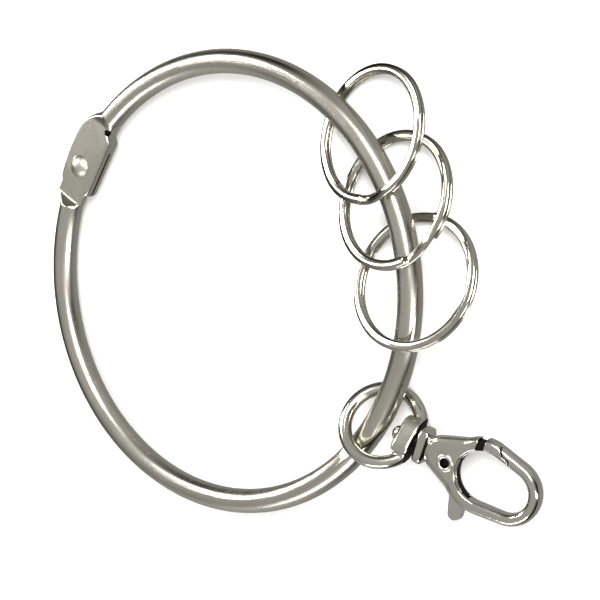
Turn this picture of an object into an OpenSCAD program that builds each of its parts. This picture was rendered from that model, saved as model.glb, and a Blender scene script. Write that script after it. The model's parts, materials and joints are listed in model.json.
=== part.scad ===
// Hinged key hoop with three split rings and a swivel trigger hook, in millimetres.
// The hoop's centre is the origin. The hinge is toward -X and the closing joint toward +X.
// Up is +Z, and everything lies as it comes to rest on a flat table.

/* [Hoop] */
// Radius of the hoop, to the middle of its rod
hoop_radius = 40.5; // [38:0.5:60]
// Diameter of the rod that the hoop is bent from
rod_diameter = 4.5; // [4:0.1:5]
// Direction of the closing joint, in degrees from +X
closing_angle = -2; // [-6:1:2]
// Length of the slanted cut where the two halves meet
scarf_length = 11; // [9:0.5:13]
// Radius of the pin on the upper half that plugs into the lower half
plug_radius = 1.3; // [1:0.1:1.4]
// Length of that pin beyond the middle of the joint
plug_length = 5.8; // [4:0.2:7]

/* [Hinge] */
// Width of the flattened fork
fork_width = 8; // [7:0.2:10]
// Thickness over both cheeks of the fork
fork_thickness = 3; // [2.6:0.1:3.6]
// Length of the fork on the far side of the rivet
fork_tail = 4.9; // [4.5:0.1:5.2]
// Thickness of the lower half's tongue
tongue_thickness = 1.3; // [1:0.1:1.6]
// Width of the tongue
tongue_width = 6.4; // [5:0.2:7]
// Radius of the relief hole between the fork and the rod
relief_radius = 0.6; // [0.4:0.05:0.7]
// Radius of the rivet's shank
rivet_radius = 1.1; // [0.8:0.1:1.4]
// Radius of the rivet's domed head
rivet_head_radius = 2.15; // [1.8:0.05:2.6]
// Height of the domed head
rivet_head_height = 1.1; // [0.8:0.1:1.3]

/* [Split rings] */
// Outside diameter of each split ring
split_ring_diameter = 25; // [24:0.5:28]
// Radial width of the flattened wire
wire_width = 1.8; // [1.4:0.1:2]
// Thickness of one turn of the wire
wire_thickness = 0.78; // [0.6:0.02:0.85]
// Directions of the three rings round the hoop, in degrees
split_ring_angles = [34, 54.4, 71.1];
// Distances of their centres from the middle of the hoop, beyond its radius
split_ring_reach = [0.8, 0.1, 2.2];
// Directions of the wire ends in each ring, in degrees
split_ring_ends = [113, -56, -96];

/* [Swivel eye] */
// Radius of the eye, to the middle of its wire
eye_radius = 6.85; // [6.6:0.05:8]
// Diameter of the eye's wire
eye_wire = 2.4; // [2:0.1:2.6]
// Direction of the eye round the hoop, in degrees
eye_angle = -3.2; // [-6:0.2:0]
// Distance of the eye's centre beyond the hoop's radius
eye_reach = 1.2; // [0.6:0.1:1.6]
// Thickness of the boss that carries the swivel
boss_thickness = 4; // [3.8:0.1:4.6]
// Width of that boss
boss_width = 7.4; // [6.6:0.2:9]
// Distance from the eye's centre to the inner face of the boss
boss_start = 3; // [2.6:0.1:4]
// Distance from the eye's centre to the outer face of the boss
boss_end = 6.9; // [6.6:0.1:7.4]
// Radius of the swivel post
post_radius = 1.15; // [0.9:0.05:1.4]
// Radius of the post's domed head
post_head_radius = 1.95; // [1.7:0.05:2.1]

/* [Hook] */
// Direction in which the hook points, in degrees
hook_heading = 9.7; // [5:0.5:15]
// Thickness of the hook's body
hook_thickness = 3.2; // [2.8:0.1:3.8]
// Width of the collar beside the boss
collar_width = 6.6; // [6:0.2:7.6]
// Distance from the eye's centre to the far end of the loop
hook_length = 31.8; // [30.6:0.2:34]
// Outside width of the loop
loop_width = 14; // [13.4:0.2:15]
// Width of the loop's bar
bar_width = 2.3; // [2:0.1:2.5]
// Depth of the rounding along the bar
bar_rounding = 0.9; // [0.5:0.1:1.1]

/* [Trigger] */
// Thickness of the trigger inside the hook
trigger_thickness = 1.5; // [1.2:0.1:1.7]
// Distance from the eye's centre to the trigger's pivot
pivot_distance = 13.6; // [13:0.1:14.2]
// Distance of the pivot below the hook's middle line
pivot_drop = 0.7; // [0.3:0.1:1]
// Radius of the hollow rivet that the trigger turns on
pivot_radius = 1.2; // [1:0.05:1.4]
// Radius of the hole through that rivet
pivot_hole = 0.85; // [0.6:0.05:0.95]
// Angle by which the trigger opens, in degrees
trigger_travel = 24; // [16:1:26]
// Length of the thumb tab beyond the body
tab_length = 3.6; // [3:0.2:5]
// Diameter of the wire of the spring round the pivot
spring_wire = 0.24; // [0.2:0.02:0.28]

/* [Fits] */
// Gap between parts that turn on each other
running_gap = 0.12; // [0.08:0.01:0.2]
// Gap between parts that are fixed to each other
fixed_gap = 0.03; // [0.02:0.01:0.05]
// Gap along the slanted cut and round the gate
joint_gap = 0.25; // [0.2:0.05:0.35]

/* [Hidden] */

nickel = [0.74, 0.73, 0.70];
bright = [0.82, 0.82, 0.81];

rod_radius = rod_diameter / 2;
surface_step = 0.02;
degrees_per_mm = 180 / (PI * hoop_radius);

// The slanted cut: how far along the rod it runs from its inner to its outer side, and from top to bottom.
scarf_skew = 0.39;
scarf_steepness = 1.2;
scarf_side = scarf_length * scarf_skew / rod_diameter;
scarf_rise = scarf_length * scarf_steepness / rod_diameter;
scarf_middle = -1.35;
scarf_end = scarf_middle + rod_radius * norm([scarf_side, scarf_rise]) + 0.3;
scarf_normal = [-scarf_side, 1, scarf_rise];
socket_radius = plug_radius + 0.2;
socket_depth = plug_length + 3.2;

// Fork and tongue.
cheek_gap = tongue_thickness + 2 * running_gap;
fork_inner = -0.4 - fork_width / 2;
fork_length = 12;
fork_corner = 1.5;
fork_flat_end = 7.6;
relief_place = 9.2;
relief_depth = 1.2;
nose_radius = tongue_width / 2;
shoulder = 6.9;
tongue_length = 11;

// The table under the hoop, as a slope in X and Y through the points that touch it.
table_height = 3.93;
table_slope_x = 0.033;
table_slope_y = 0.0167;
lie_x = atan(table_slope_y);
lie_y = -atan(table_slope_x);
function table_depth(p) = table_height + table_slope_x * p[0] + table_slope_y * p[1];
function polar(r, a) = [r * cos(a), r * sin(a)];

// Split rings: two turns of wire joined by a short step.
ring_outer = split_ring_diameter / 2;
ring_middle = ring_outer - wire_width / 2;
turn_gap = 0.05;
turn_pitch = wire_thickness + turn_gap;
ring_thickness = wire_thickness + turn_pitch;
step_angle = 32;
rest_gap = 0.1;

// Each ring passes under the rod at one end, where it touches the table, and over it at the other.
function ring_radius_at(i) = hoop_radius + split_ring_reach[i];
function low_point(i) = polar(ring_radius_at(i), split_ring_angles[i]) + polar(ring_outer, split_ring_angles[i] + 90);
function crossing(i) = sqrt(pow(ring_outer - wire_width, 2) - pow(split_ring_reach[i] + 1.5, 2)) - 0.15;
function lean(i) = asin((rod_radius + rest_gap + table_depth(low_point(i))) / (ring_outer + crossing(i)));
function ring_height(i) = ring_outer * sin(lean(i)) + ring_thickness / 2 * cos(lean(i)) - table_depth(low_point(i));

// Swivel eye and hook.
eye_roll = -33;
eye_centre = concat(polar(hoop_radius + eye_reach, eye_angle), [0]);
hook_droop = 8.8;
collar_start = boss_end + 0.45;
collar_end = 9.4;
neck_radius = 3.2;
loop_radius = loop_width / 2;
tip_radius = loop_radius - 0.9;
loop_near = [20.4, -0.4];
loop_far = [hook_length - tip_radius, -0.8];
pivot = [pivot_distance, -pivot_drop];
slot_width = trigger_thickness + 0.2;
gate_start = 17.9;
step_reach = 11;
nose_reach = 11.9;
spring_turns = 2;
spring_pitch = spring_wire + 0.03;
spring_radius = pivot_radius + 0.3 + spring_wire / 2;
spring_room = 0.1;
spring_legs = [2.6, 3.2];
tab_width = 3;
tab_root = [17.4, -5];
tab_end = [17.9, -loop_radius - tab_length + tab_width / 2 + 0.3];

module lie() {
    rotate([lie_x, lie_y, 0]) children();
}

// Part of the hoop's rod between two directions.
module rod_arc(from, to, radius) {
    rotate([0, 0, from]) rotate_extrude(angle = to - from, $fn = 84)
        translate([hoop_radius, 0]) circle(r = radius, $fn = 24);
}

// A thin slice just inside the rod's surface, where a forged end starts.
module rod_slice() {
    rotate_extrude(angle = 0.5, $fn = 360)
        translate([hoop_radius, 0]) circle(r = rod_radius - surface_step, $fn = 24);
}

// A ball in the rod, so many millimetres along it from the middle of the closing joint.
module rod_ball(along, radius) {
    rotate([0, 0, closing_angle + along * degrees_per_mm])
        translate([hoop_radius, 0, 0]) sphere(r = radius - surface_step, $fn = 24);
}

// All that lies on one side of the slanted cut, near the joint.
module scarf_block(side) {
    tall = norm(scarf_normal);
    rotate([0, 0, closing_angle]) translate([hoop_radius, scarf_middle, 0])
        rotate([0, acos(scarf_normal[2] / tall), atan2(scarf_normal[1], scarf_normal[0])])
            translate([0, 0, side * (5 - joint_gap / 2)]) cube([30, 24, 10], center = true);
}

module at_hinge() {
    translate([-hoop_radius, 0, 0]) rotate([0, 0, 90]) children();
}

module rounded_box_2d(x0, x1, y0, y1, r) {
    translate([x0 + r, y0 + r]) offset(r = r) square([x1 - x0 - 2 * r, y1 - y0 - 2 * r]);
}

module upper_half() {
    fork_root = 180 - fork_length * degrees_per_mm;
    color(nickel) lie() {
        difference() {
            union() {
                rod_arc(closing_angle - (plug_length - rod_radius) * degrees_per_mm, fork_root, rod_radius);
                rod_ball(-(plug_length - rod_radius), rod_radius);
                hull() {
                    rotate([0, 0, fork_root - 0.25]) rod_slice();
                    at_hinge() translate([fork_flat_end - fork_corner - 0.1, fork_inner + 0.3, -fork_thickness / 2])
                        cube([0.6, fork_width - 0.5, fork_thickness]);
                }
                at_hinge() translate([0, 0, -fork_thickness / 2]) linear_extrude(fork_thickness)
                    rounded_box_2d(-fork_tail, fork_flat_end, fork_inner, fork_inner + fork_width,
                                   fork_corner, $fn = 24);
            }
            scarf_block(-1);
            at_hinge() {
                translate([-fork_tail - 1, fork_inner - 1, -cheek_gap / 2])
                    cube([fork_tail + nose_radius + 2, fork_width + 2, cheek_gap]);
                cylinder(h = fork_thickness + 2, r = rivet_radius + fixed_gap, center = true, $fn = 32);
                translate([relief_place, -rod_radius + relief_depth, 0]) rotate([90, 0, 0])
                    cylinder(h = 5, r = relief_radius, $fn = 24);
            }
        }
        rod_arc(closing_angle - (plug_length - plug_radius) * degrees_per_mm,
                closing_angle + 8 * degrees_per_mm, plug_radius);
        rod_ball(-(plug_length - plug_radius), plug_radius);
    }
}

module lower_half() {
    tongue_root = 180 + tongue_length * degrees_per_mm;
    color(nickel) lie() difference() {
        union() {
            rod_arc(tongue_root, 360 + closing_angle + scarf_end * degrees_per_mm, rod_radius);
            hull() {
                rotate([0, 0, tongue_root - 0.25]) rod_slice();
                at_hinge() translate([-shoulder, -tongue_width / 2, -tongue_thickness / 2])
                    cube([0.2, tongue_width, tongue_thickness]);
            }
            at_hinge() {
                translate([-shoulder - 0.1, -tongue_width / 2, -tongue_thickness / 2])
                    cube([shoulder + 0.1, tongue_width, tongue_thickness]);
                cylinder(h = tongue_thickness, r = nose_radius, center = true, $fn = 40);
            }
        }
        scarf_block(1);
        rod_arc(closing_angle - (socket_depth - socket_radius) * degrees_per_mm,
                closing_angle + (scarf_end + 1) * degrees_per_mm, socket_radius);
        rod_ball(-(socket_depth - socket_radius), socket_radius);
        at_hinge() cylinder(h = tongue_thickness + 2, r = rivet_radius + running_gap, center = true, $fn = 32);
    }
}

// A domed head standing on z = 0.
module dome(radius, height) {
    ball = (radius * radius + height * height) / (2 * height);
    rotate_extrude($fn = 36) intersection() {
        translate([0, height - ball]) circle(r = ball, $fn = 48);
        square([radius, height]);
    }
}

module hinge_rivet() {
    color(nickel) lie() at_hinge() {
        for (side = [0, 180]) rotate([side, 0, 0]) translate([0, 0, fork_thickness / 2])
            dome(rivet_head_radius, rivet_head_height);
        cylinder(h = fork_thickness + 0.02, r = rivet_radius, center = true, $fn = 32);
    }
}

// A section carried along a level path: points, their outward directions, and the section as [outward, up].
module swept(path, outward, section, closed) {
    n = len(path);
    m = len(section);
    last = closed ? n : n - 1;
    polyhedron(
        points = [for (i = [0:n - 1], s = section)
            path[i] + [outward[i][0] * s[0], outward[i][1] * s[0], s[1]]],
        faces = concat(
            [for (i = [0:last - 1], j = [0:m - 1])
                [i * m + (j + 1) % m, ((i + 1) % n) * m + (j + 1) % m, ((i + 1) % n) * m + j, i * m + j]],
            closed ? [] : [[for (j = [0:m - 1]) m - 1 - j], [for (j = [0:m - 1]) (n - 1) * m + j]]));
}

function softened(w, h, c) = [
    [-w / 2 + c, -h / 2], [w / 2 - c, -h / 2], [w / 2, -h / 2 + c], [w / 2, h / 2 - c],
    [w / 2 - c, h / 2], [-w / 2 + c, h / 2], [-w / 2, h / 2 - c], [-w / 2, -h / 2 + c]];

function smooth(t) = t * t * (3 - 2 * t);

module coil(end_angle) {
    turn = 360 - step_angle;
    coarse = 8;
    angles = concat([for (a = [0.6:coarse:turn - 1]) a],
                    [for (a = [turn:4:360]) a],
                    [for (a = [360 + coarse:coarse:360 + turn - 2]) a], [360 + turn - 0.6]);
    path = [for (a = angles) [ring_middle * cos(a), ring_middle * sin(a),
        turn_pitch * (smooth(max(0, min(1, (a - turn) / step_angle))) - 0.5)]];
    rotate([0, 0, end_angle])
        swept(path, [for (a = angles) [cos(a), sin(a)]], softened(wire_width, wire_thickness, 0.18), false);
}

// The ring's own X points away from the hoop's centre, and its Y end goes down under the rod.
module split_ring(i) {
    color(bright) lie() rotate([0, 0, split_ring_angles[i]])
        translate([ring_radius_at(i), 0, ring_height(i)]) rotate([-lean(i), 0, 0])
            coil(split_ring_ends[i]);
}

module split_ring_1() {
    split_ring(0);
}

module split_ring_2() {
    split_ring(1);
}

module split_ring_3() {
    split_ring(2);
}

// Along the hook: X runs from the eye's centre to the hook's end, Y to its left, Z out of its face.
module at_hook(roll) {
    lie() translate(eye_centre) rotate([0, 0, hook_heading]) rotate([roll, hook_droop, 0]) children();
}

module swivel_eye() {
    color(bright) at_hook(eye_roll) difference() {
        union() {
            rotate_extrude($fn = 48) translate([eye_radius, 0]) circle(d = eye_wire, $fn = 18);
            intersection() {
                rounded_disc(eye_radius + eye_wire / 2 - 0.1, boss_thickness, 1.3);
                translate([boss_start, -boss_width / 2, -10]) cube([boss_end - boss_start, boss_width, 20]);
            }
        }
        translate([boss_end, -10, -10]) cube([5, 20, 20]);
        rotate([0, 90, 0]) cylinder(h = boss_end + 1, r = post_radius + running_gap, $fn = 28);
    }
}

// Outline of two circles joined by their outer tangents.
module link_2d(a, ra, b, rb) {
    way = atan2(b[1] - a[1], b[0] - a[0]);
    spread = acos((ra - rb) / norm(b - a));
    translate(a) circle(r = ra);
    translate(b) circle(r = rb);
    polygon([a + polar(ra, way + spread), b + polar(rb, way + spread),
             b + polar(rb, way - spread), a + polar(ra, way - spread)]);
}

// The middle of the loop's bar: two arcs joined by their tangents.
loop_way = atan2(loop_far[1] - loop_near[1], loop_far[0] - loop_near[0]);
loop_spread = acos((loop_radius - tip_radius) / norm(loop_far - loop_near));
loop_angles = concat([for (k = [0:14]) [loop_far, tip_radius, loop_way - loop_spread + k * 2 * loop_spread / 14]],
    [for (k = [0:16]) [loop_near, loop_radius, loop_way + loop_spread + k * (360 - 2 * loop_spread) / 16]]);
loop_path = [for (q = loop_angles) concat(q[0] + polar(q[1] - bar_width / 2, q[2]), [0])];
loop_out = [for (q = loop_angles) polar(1, q[2])];

module loop_bar(thickness) {
    swept(loop_path, loop_out, softened(bar_width, thickness, bar_rounding), true);
}

module rounded_disc(r, h, edge) {
    rotate_extrude($fn = 48) intersection() {
        rounded_box_2d(-r, r, -h / 2, h / 2, edge, $fn = 16);
        translate([0, -h]) square([r + 1, 2 * h]);
    }
}

// The trigger seen from the front: hub, gate arm and thumb tab.
module trigger_2d() {
    link_2d(pivot, 2.6, [18.6, 4.4], 1.3, $fn = 24);
    link_2d([18.6, 4.4], 1.3, [21, 4.9], 1, $fn = 24);
    link_2d(pivot, 2.6, tab_root, 1.7, $fn = 24);
    link_2d(tab_root, 1.7, tab_end, tab_width / 2 - 0.2, $fn = 24);
}

// The part of the loop that the gate closes. Its ends are arcs about the pivot, so that it can swing,
// and its nose passes inside the hook's tip.
module gate_2d(inset) {
    intersection() {
        translate([gate_start + inset, 1.8]) square([12, 12]);
        union() {
            translate(pivot) circle(r = step_reach - inset, $fn = 96);
            intersection() {
                translate(pivot) circle(r = nose_reach - inset, $fn = 96);
                offset(r = -bar_width / 2 - inset)
                    link_2d(loop_near, loop_radius, loop_far, tip_radius, $fn = 48);
            }
        }
    }
}

// Corners of the room for one of the spring's legs, seen from the front, turned about the pivot by an angle.
// Side 0 rests on the trigger and side 1 in a pocket of the hook.
function turned(p, a) = [p[0] * cos(a) - p[1] * sin(a), p[0] * sin(a) + p[1] * cos(a)];
function leg_corners(side, from, a) =
    let (way = 1 - 2 * side, reach = way * (spring_legs[side] + spring_room), room = spring_wire / 2 + spring_room)
    [for (p = [[way * from, spring_radius - room], [reach, spring_radius - room],
               [reach, spring_radius + room], [way * from, spring_radius + room]]) turned(p, a)];

// The room that a leg needs while the trigger turns.
module leg_sweep_2d(side) {
    near = leg_corners(side, 0, 0);
    far = leg_corners(side, 0, trigger_travel + 3);
    if (side == 0) polygon([near[0], near[1], near[2], far[2], far[3], far[0]]);
    else polygon([near[3], near[2], far[2], far[1], far[0], near[0]]);
}

module hook_body() {
    color(bright) at_hook(0) difference() {
        union() {
            difference() {
                hull() {
                    translate([collar_end + neck_radius - 0.6, 0, 0]) rounded_disc(neck_radius, hook_thickness, 0.7);
                    translate(loop_near) rounded_disc(loop_radius - bar_width / 4, hook_thickness, 0.7);
                }
                translate([0, 0, -5]) linear_extrude(10) offset(r = -bar_width / 2)
                    link_2d(loop_near, loop_radius, loop_far, tip_radius, $fn = 48);
            }
            loop_bar(hook_thickness);
            intersection() {
                translate([collar_start, 0, 0]) rotate([0, 90, 0])
                    cylinder(h = collar_end - collar_start + 2, d = collar_width, $fn = 40);
                translate([0, -5, -2.1]) cube([collar_end, 10, 4.2]);
            }
            translate([boss_start - 0.06, 0, 0]) rotate([0, 90, 0])
                cylinder(h = collar_end - boss_start, r = post_radius, $fn = 28);
            translate([boss_start - 0.06, 0, 0]) rotate([0, -90, 0]) dome(post_head_radius, 1.1);
        }
        translate([0, 0, -slot_width / 2]) linear_extrude(slot_width)
            for (a = [0:trigger_travel / 3:trigger_travel + 3]) translate(pivot) rotate(-a) translate(-pivot)
                offset(r = 0.25) trigger_2d();
        translate([0, 0, -5]) linear_extrude(10) gate_2d(0);
        translate(pivot) cylinder(h = 10, r = pivot_radius + fixed_gap, center = true, $fn = 32);
        translate(concat(pivot, [spring_turns * spring_pitch - spring_wire / 2 - spring_room]))
            linear_extrude(spring_wire + 2 * spring_room) polygon(leg_corners(1, 2.2, 0));
    }
}

module trigger() {
    color(bright) at_hook(0) difference() {
        union() {
            linear_extrude(trigger_thickness, center = true) trigger_2d();
            intersection() {
                loop_bar(hook_thickness - 0.4);
                linear_extrude(10, center = true) intersection() {
                    gate_2d(joint_gap);
                    translate([19.3, 0]) square([10, 10]);
                }
            }
        }
        translate(pivot) {
            cylinder(h = 5, r = pivot_radius + running_gap, center = true, $fn = 32);
            translate([0, 0, -spring_wire / 2 - spring_room])
                cylinder(h = 2, r = spring_radius + spring_wire / 2 + spring_room, $fn = 40);
            for (side = [0, 1]) translate([0, 0, side * spring_turns * spring_pitch - spring_wire / 2 - spring_room])
                linear_extrude(2) leg_sweep_2d(side);
        }
    }
}

module trigger_rivet() {
    color(nickel) at_hook(0) translate(pivot) difference() {
        union() {
            cylinder(h = hook_thickness + 0.02, r = pivot_radius, center = true, $fn = 32);
            for (side = [0, 180]) rotate([side, 0, 0]) translate([0, 0, hook_thickness / 2])
                cylinder(h = 0.3, r1 = pivot_radius + 0.45, r2 = pivot_radius + 0.15, $fn = 32);
        }
        cylinder(h = 10, r = pivot_hole, center = true, $fn = 28);
    }
}

module trigger_spring() {
    whole = 360 * spring_turns;
    angles = [for (a = [0:15:whole]) a];
    path = concat([[spring_legs[0], spring_radius, 0]],
        [for (a = angles) concat(polar(spring_radius, 90 + a), [spring_turns * spring_pitch * a / whole])],
        [[-spring_legs[1], spring_radius, spring_turns * spring_pitch]]);
    outward = concat([[0, 1]], [for (a = angles) polar(1, 90 + a)], [[0, 1]]);
    color(bright) at_hook(0) translate(pivot)
        swept(path, outward, softened(spring_wire, spring_wire, spring_wire * 0.3), false);
}

upper_half();
lower_half();
hinge_rivet();
split_ring_1();
split_ring_2();
split_ring_3();
swivel_eye();
hook_body();
trigger();
trigger_rivet();
trigger_spring();
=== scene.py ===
import json
from contextlib import contextmanager
from math import acos, asin, atan, atan2, cos, degrees, hypot, pi, radians, sin, sqrt

import bmesh
import bpy
from mathutils import Matrix, Vector

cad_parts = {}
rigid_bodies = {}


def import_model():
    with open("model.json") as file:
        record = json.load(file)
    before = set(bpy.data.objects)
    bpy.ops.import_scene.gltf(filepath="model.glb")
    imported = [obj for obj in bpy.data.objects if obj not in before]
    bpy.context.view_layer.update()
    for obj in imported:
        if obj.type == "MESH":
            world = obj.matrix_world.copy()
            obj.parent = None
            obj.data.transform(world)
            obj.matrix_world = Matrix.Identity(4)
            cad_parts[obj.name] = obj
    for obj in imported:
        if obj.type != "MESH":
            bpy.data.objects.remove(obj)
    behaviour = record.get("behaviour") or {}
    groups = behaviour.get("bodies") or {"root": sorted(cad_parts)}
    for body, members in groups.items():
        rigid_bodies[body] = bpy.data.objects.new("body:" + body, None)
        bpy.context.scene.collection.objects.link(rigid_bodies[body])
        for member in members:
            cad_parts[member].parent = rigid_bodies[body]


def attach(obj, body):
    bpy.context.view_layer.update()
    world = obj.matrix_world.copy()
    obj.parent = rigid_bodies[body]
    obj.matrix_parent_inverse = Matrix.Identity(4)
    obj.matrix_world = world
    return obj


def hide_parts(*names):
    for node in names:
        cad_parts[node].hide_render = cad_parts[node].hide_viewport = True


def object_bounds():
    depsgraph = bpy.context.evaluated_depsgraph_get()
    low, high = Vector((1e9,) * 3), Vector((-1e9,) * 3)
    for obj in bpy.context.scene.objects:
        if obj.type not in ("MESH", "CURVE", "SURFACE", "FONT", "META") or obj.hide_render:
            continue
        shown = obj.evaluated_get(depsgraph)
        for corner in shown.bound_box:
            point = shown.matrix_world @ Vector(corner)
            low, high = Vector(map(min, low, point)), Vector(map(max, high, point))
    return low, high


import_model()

for spare in [o for o in bpy.data.objects if o.name in ("Cube", "Light", "Camera")]:
    bpy.data.objects.remove(spare)
cadBox = [list(corner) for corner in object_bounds()]

# Sizes are in millimetres and angles in degrees, and put() turns a finished shape into metres.
mm = 0.001

# The hoop leans on its hinge rivet: how far the table is below its middle, and how the table slopes under its plane.
table = {"height": 3.93, "slopeX": 0.033, "slopeY": 0.0167}


def linear(hexColour):
    parts = [int(hexColour[i:i + 2], 16) / 255 for i in (1, 3, 5)]
    return tuple(c / 12.92 if c <= 0.04045 else ((c + 0.055) / 1.055) ** 2.4 for c in parts) + (1.0,)


def addNode(tree, kind, settings=None, **inputs):
    # an input is given by its name, or by its number as in0, in1 and so on
    node = tree.nodes.new(kind)
    for key, value in (settings or {}).items():
        setattr(node, key, value)
    for key, value in inputs.items():
        numbered = key.startswith("in") and key[2:].isdigit()
        socket = node.inputs[int(key[2:])] if numbered else node.inputs[key.replace("_", " ")]
        if isinstance(value, bpy.types.NodeSocket):
            tree.links.new(value, socket)
        else:
            socket.default_value = value
    return node


@contextmanager
def edited(thing):
    shell = bmesh.new()
    shell.from_mesh(thing.data)
    yield shell
    shell.to_mesh(thing.data)
    shell.free()


def makeObject(name, mesh):
    thing = bpy.data.objects.new(name, mesh)
    bpy.context.scene.collection.objects.link(thing)
    return thing


def faceOutwards(thing):
    with edited(thing) as shell:
        bmesh.ops.remove_doubles(shell, verts=shell.verts, dist=1e-5)
        bmesh.ops.recalc_face_normals(shell, faces=shell.faces)


def fromPoints(name, points, faces):
    mesh = bpy.data.meshes.new(name)
    mesh.from_pydata([tuple(p) for p in points], [], faces)
    mesh.validate()
    thing = makeObject(name, mesh)
    faceOutwards(thing)
    return thing


def bakeModifiers(thing):
    depsgraph = bpy.context.evaluated_depsgraph_get()
    mesh = bpy.data.meshes.new_from_object(thing.evaluated_get(depsgraph))
    thing.modifiers.clear()
    thing.data = mesh
    return thing


def combine(thing, other, operation):
    change = thing.modifiers.new("cut", "BOOLEAN")
    change.operation, change.solver, change.object = operation, "MANIFOLD", other
    before = len(thing.data.vertices)
    bakeModifiers(thing)
    if len(thing.data.vertices) in (0, before):
        print("cut had no effect on", thing.name)
    bpy.data.objects.remove(other)
    return thing


def joined(name, things):
    shell = bmesh.new()
    for thing in things:
        shell.from_mesh(thing.data)
    mesh = bpy.data.meshes.new(name)
    shell.to_mesh(mesh)
    shell.free()
    for thing in things:
        bpy.data.objects.remove(thing)
    return makeObject(name, mesh)


def fused(thing, voxel, passes):
    # melts overlapping shapes into one casting, and softens the corners where they meet
    change = thing.modifiers.new("fuse", "REMESH")
    change.mode, change.voxel_size, change.use_smooth_shade = "VOXEL", voxel, True
    change = thing.modifiers.new("soften", "SMOOTH")
    change.iterations, change.factor = passes, 0.5
    return bakeModifiers(thing)


def shadeByAngle(thing, limit=32):
    with edited(thing) as shell:
        for face in shell.faces:
            face.smooth = True
        for edge in shell.edges:
            edge.smooth = len(edge.link_faces) == 2 and edge.calc_face_angle(0) < radians(limit)
    # large flats stay flat beside their rounded edges
    if any(len(face.vertices) > 4 or face.area > 1 for face in thing.data.polygons):
        change = thing.modifiers.new("even", "WEIGHTED_NORMAL")
        change.weight, change.keep_sharp = 100, True
        bakeModifiers(thing)


def edged(thing, width):
    # breaks the sharp edges, once the flats that a cut has split are whole again
    with edited(thing) as shell:
        bmesh.ops.dissolve_limit(shell, angle_limit=radians(0.3), verts=shell.verts, edges=shell.edges)
    change = thing.modifiers.new("edge", "BEVEL")
    change.width, change.segments, change.limit_method, change.angle_limit = width, 3, "ANGLE", radians(35)
    bakeModifiers(thing)


def polar(radius, angle):
    return radius * cos(radians(angle)), radius * sin(radians(angle))


def turn(angle, axis):
    return Matrix.Rotation(radians(angle), 4, axis)


def move(x, y, z=0.0):
    return Matrix.Translation((x, y, z))


layFlat = Matrix.Rotation(-atan(table["slopeX"]), 4, "Y") @ Matrix.Rotation(atan(table["slopeY"]), 4, "X")


def put(thing, matrix=Matrix()):
    thing.data.transform(Matrix.Scale(mm, 4) @ layFlat @ matrix)


def finishPiece(thing, material, body, node, paintedShade=None):
    # this mask tells for each face whether it gets painted shade, the dark steel that stands in for the shade in bores,
    # slots and gaps
    thing.data.materials.clear()
    thing.data.materials.append(material)
    if paintedShade:
        thing.data.materials.append(paintedShadeSteel)
    for k, face in enumerate(thing.data.polygons):
        face.material_index = 1 if paintedShade and paintedShade[k] else 0
    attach(thing, body)
    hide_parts(node)
    print("made", thing.name, len(thing.data.polygons), "faces")


def metal(name, colours, roughness, spread, grain, bumpDepth, wave):
    # grain is the size of the fine dents, and wave that of the slow changes in colour and shine
    material = bpy.data.materials.new(name)
    material.use_nodes = True
    tree = material.node_tree
    tree.nodes.clear()
    place = addNode(tree, "ShaderNodeTexCoord").outputs["Object"]
    fine = addNode(tree, "ShaderNodeTexNoise", Vector=place, Scale=1 / (grain * mm), Detail=4.0, Roughness=0.6)
    broad = addNode(tree, "ShaderNodeTexNoise", Vector=place, Scale=1 / (wave * mm), Detail=2.0)
    shine = addNode(tree, "ShaderNodeMapRange", Value=broad.outputs["Fac"], From_Min=0.3, From_Max=0.7,
                    To_Min=roughness - spread, To_Max=roughness + spread)
    bump = addNode(tree, "ShaderNodeBump", Height=fine.outputs["Fac"], Strength=1.0, Distance=bumpDepth * mm)
    tint = addNode(tree, "ShaderNodeMix", {"data_type": "RGBA"}, in0=broad.outputs["Fac"],
                   in6=linear(colours[0]), in7=linear(colours[1]))
    shader = addNode(tree, "ShaderNodeBsdfPrincipled", Base_Color=tint.outputs[2], Metallic=1.0,
                     Roughness=shine.outputs[0], Normal=bump.outputs[0])
    addNode(tree, "ShaderNodeOutputMaterial", Surface=shader.outputs[0])
    return material


# Satin nickel plate on steel, tumbled before plating, so that its highlights are long and soft.
satinNickel = metal("satin_nickel", ("#C3BFB4", "#CCC9BE"), roughness=0.27, spread=0.03,
                    grain=0.25, bumpDepth=0.004, wave=9)
# Bright nickel plate on spring wire: nearly a mirror.
polishedNickel = metal("polished_nickel", ("#BFBCB1", "#C9C6BB"), roughness=0.12, spread=0.03,
                       grain=0.4, bumpDepth=0.0015, wave=4)
# Polished nickel plate on a zinc casting, which keeps a slight waviness.
castNickel = metal("cast_nickel", ("#CAC7BC", "#D3D1C7"), roughness=0.15, spread=0.03,
                   grain=0.5, bumpDepth=0.003, wave=5)
# Nickel plate on a rivet that is rolled after plating, which dulls its rim.
rivetNickel = metal("rivet_nickel", ("#C8C5BA", "#D1CFC5"), roughness=0.3, spread=0.03,
                    grain=0.3, bumpDepth=0.002, wave=3)
# The hinge's rivet is tumbled with the hoop, so its domes are soft.
tumbledNickel = metal("tumbled_nickel_rivet", ("#C2BEB2", "#CCC8BD"), roughness=0.4, spread=0.03,
                      grain=0.3, bumpDepth=0.003, wave=3)
# Painted shade: a dull dark steel given to faces in bores, slots and gaps, standing in for the shade that falls there.
paintedShadeSteel = metal("unplated_bore_steel", ("#2A2927", "#3A3835"), roughness=0.55, spread=0.05,
                 grain=0.2, bumpDepth=0.003, wave=2)
# Bare spring steel wire: drawn, with a dull grey sheen.
springSteel = metal("bare_spring_steel", ("#8C8C8E", "#9A9A9B"), roughness=0.3, spread=0.04,
                    grain=0.3, bumpDepth=0.001, wave=2)
print("metals ready")


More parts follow.
